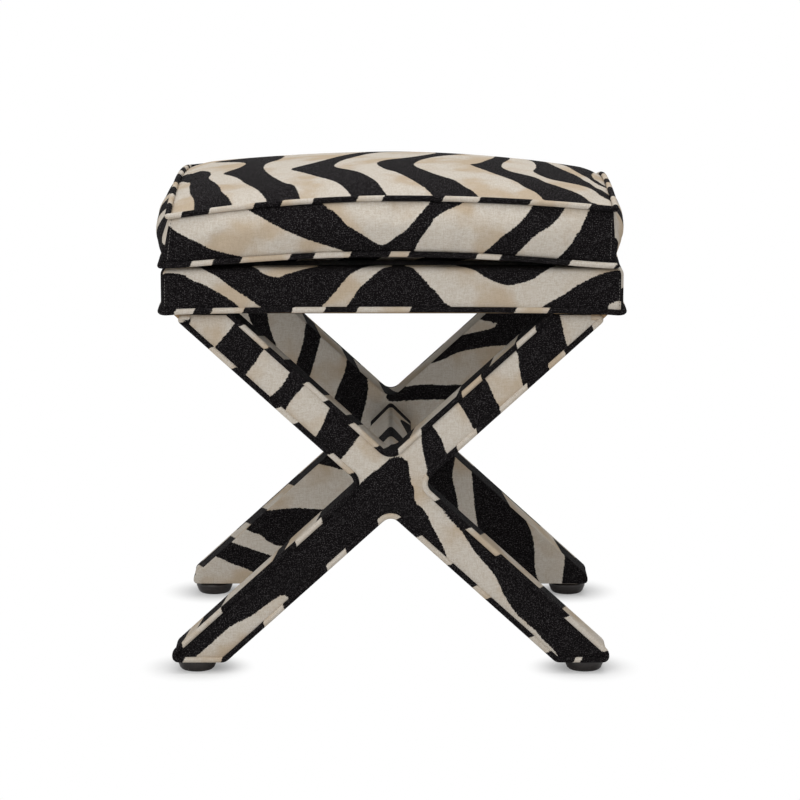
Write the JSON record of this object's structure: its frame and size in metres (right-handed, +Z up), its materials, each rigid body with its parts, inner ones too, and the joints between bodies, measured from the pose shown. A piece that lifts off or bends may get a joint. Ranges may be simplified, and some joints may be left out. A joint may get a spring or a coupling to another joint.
{
  "type": "x-frame bench",
  "caption": "Upholstered bench with a loose box cushion on a covered deck, carried by crossed straight legs joined by a stretcher; welted zebra-striped linen, round floor glides.",
  "frame": {"origin": "on the floor under the middle of the seat", "axes": "+Z up, -Y towards the front with its welted X face, +X to the right as seen from the front"},
  "size_m": [0.514, 0.429, 0.5405],
  "materials": {
    "printed_linen": "woven, printed",
    "printed_cord": "woven, printed",
    "platform_cloth": "woven",
    "dust_cloth": "non-woven",
    "foam": "open-cell foam",
    "felt": "felted",
    "timber": "bare",
    "plywood": "bare",
    "steel": "zinc plated",
    "dark_plastic": "satin"
  },
  "bodies": {
    "frame": {"deck_rail_front": "timber", "deck_rail_right": "timber", "deck_rail_back": "timber", "deck_rail_left": "timber", "corner_block_front_left": "timber", "corner_block_front_right": "timber", "corner_block_rear_left": "timber", "corner_block_rear_right": "timber", "dust_cover": "dust_cloth", "deck_board": "plywood", "deck_pad": "felt", "deck_boxing_front": "printed_linen", "deck_boxing_right": "printed_linen", "deck_boxing_back": "printed_linen", "deck_boxing_left": "printed_linen", "deck_top_cloth": "platform_cloth", "deck_welt": "printed_cord", "front_leg_outer_lap": "timber", "front_leg_inner_lap": "timber", "front_face_outer": "printed_linen", "front_face_inner": "printed_linen", "front_boxing_side": "printed_linen", "front_boxing_top": "printed_linen", "front_welt_side": "printed_cord", "front_welt_top": "printed_cord", "rear_leg_outer_lap": "timber", "rear_leg_inner_lap": "timber", "rear_face_outer": "printed_linen", "rear_face_inner": "printed_linen", "rear_boxing_side": "printed_linen", "rear_boxing_top": "printed_linen", "rear_welt_side": "printed_cord", "rear_welt_top": "printed_cord", "stretcher_beam": "timber", "stretcher_sleeve": "printed_linen", "stretcher_bolt_front": "steel", "stretcher_bolt_rear": "steel", "leg_bolt_front_left": "steel", "glide_nail_front_left": "steel", "glide_front_left": "dark_plastic", "leg_bolt_front_right": "steel", "glide_nail_front_right": "steel", "glide_front_right": "dark_plastic", "leg_bolt_rear_left": "steel", "glide_nail_rear_left": "steel", "glide_rear_left": "dark_plastic", "leg_bolt_rear_right": "steel", "glide_nail_rear_right": "steel", "glide_rear_right": "dark_plastic"},
    "cushion": {"cushion_foam": "foam", "cushion_top_panel": "printed_linen", "cushion_bottom_panel": "printed_linen", "cushion_boxing_front": "printed_linen", "cushion_boxing_right": "printed_linen", "cushion_boxing_back": "printed_linen", "cushion_boxing_left": "printed_linen", "cushion_top_welt": "printed_cord", "cushion_bottom_welt": "printed_cord"}
  },
  "joints": [
    {"name": "cushion_lift", "type": "slide", "parent": "frame", "child": "cushion", "axis": [0, 0, 1], "range_m": [0, 0.15]}
  ]
}
